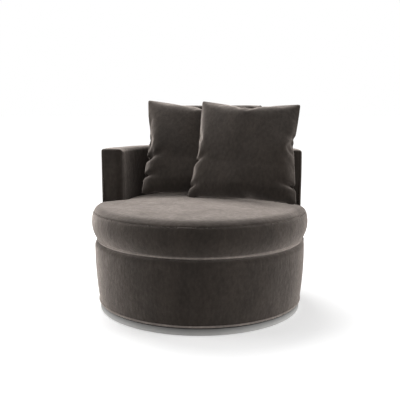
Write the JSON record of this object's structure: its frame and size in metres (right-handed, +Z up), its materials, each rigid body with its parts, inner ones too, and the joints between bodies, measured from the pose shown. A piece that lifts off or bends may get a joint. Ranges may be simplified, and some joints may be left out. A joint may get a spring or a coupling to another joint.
{
  "type": "cuddle chair",
  "caption": "Round swivel armchair upholstered in dark velvet: drum body on a recessed plinth, T-shaped seat cushion, low curved arms, stepped back and two loose scatter cushions.",
  "frame": {"origin": "middle of the floor contact, on the swivel axis", "axes": "+Z up along the swivel axis, -Y towards the front of the seat, +X to the right as seen from the front"},
  "size_m": [0.9552, 0.9434, 0.9036],
  "materials": {
    "velvet": "cut pile velvet",
    "foam": "upholstery foam",
    "fibre": "fibre filling",
    "hessian": "woven",
    "dust_cloth": "nonwoven",
    "webbing": "elastic webbing",
    "plywood": "sanded",
    "timber": "planed",
    "plinth_grey": "satin",
    "zinc_steel": "zinc plated",
    "ball_steel": "polished",
    "felt": "felt",
    "zip": "coil zip"
  },
  "bodies": {
    "base": {"floor_glides": "felt", "plinth_ring": "plinth_grey", "plinth_board": "plywood", "lower_plate_screws": "zinc_steel", "swivel_lower_plate": "zinc_steel", "bearing_balls": "ball_steel", "bearing_cage": "zinc_steel"},
    "chair": {"swivel_upper_plate": "zinc_steel", "upper_plate_screws": "zinc_steel", "base_board": "plywood", "dust_cover": "dust_cloth", "drum_posts": "timber", "deck_ring": "plywood", "drum_wrap_board": "plywood", "frame_screws": "zinc_steel", "arm_posts": "timber", "back_posts": "timber", "arm_rails": "plywood", "back_rail": "plywood", "inside_panel": "plywood", "outside_panel": "plywood", "webbing_along": "webbing", "webbing_across": "webbing", "deck_hessian": "hessian", "deck_pad": "foam", "deck_cover": "velvet", "drum_padding": "foam", "drum_cover": "velvet", "drum_piping": "velvet", "inside_padding": "foam", "outside_padding": "foam", "inside_cover": "velvet", "outside_cover": "velvet"},
    "seat_cushion": {"seat_cover_top": "velvet", "seat_cover_border": "velvet", "seat_cover_bottom": "velvet", "seat_piping": "velvet", "seat_cushion_wrap": "fibre", "seat_cushion_foam": "foam", "seat_zip": "zip"},
    "zip_slider": {"seat_zip_slider": "zinc_steel"},
    "scatter_left": {"scatter_left_cover": "velvet", "scatter_left_pad": "fibre"},
    "scatter_right": {"scatter_right_cover": "velvet", "scatter_right_pad": "fibre"}
  },
  "joints": [
    {"name": "swivel", "type": "hinge", "parent": "base", "child": "chair", "pos_m": [0, 0, 0.0271], "axis": [0, 0, 1], "continuous": true},
    {"name": "seat_cushion_lift", "type": "slide", "parent": "chair", "child": "seat_cushion", "axis": [0, 0, 1], "range_m": [0, 0.25]},
    {"name": "scatter_left_lift", "type": "slide", "parent": "seat_cushion", "child": "scatter_left", "axis": [0, 0, 1], "range_m": [0, 0.35]},
    {"name": "scatter_right_lift", "type": "slide", "parent": "scatter_left", "child": "scatter_right", "axis": [0, 0, 1], "range_m": [0, 0.35]},
    {"name": "seat_zip", "type": "hinge", "parent": "seat_cushion", "child": "zip_slider", "pos_m": [0, 0, 0.369], "axis": [0, 0, 1], "range_deg": [-61, 0]}
  ]
}
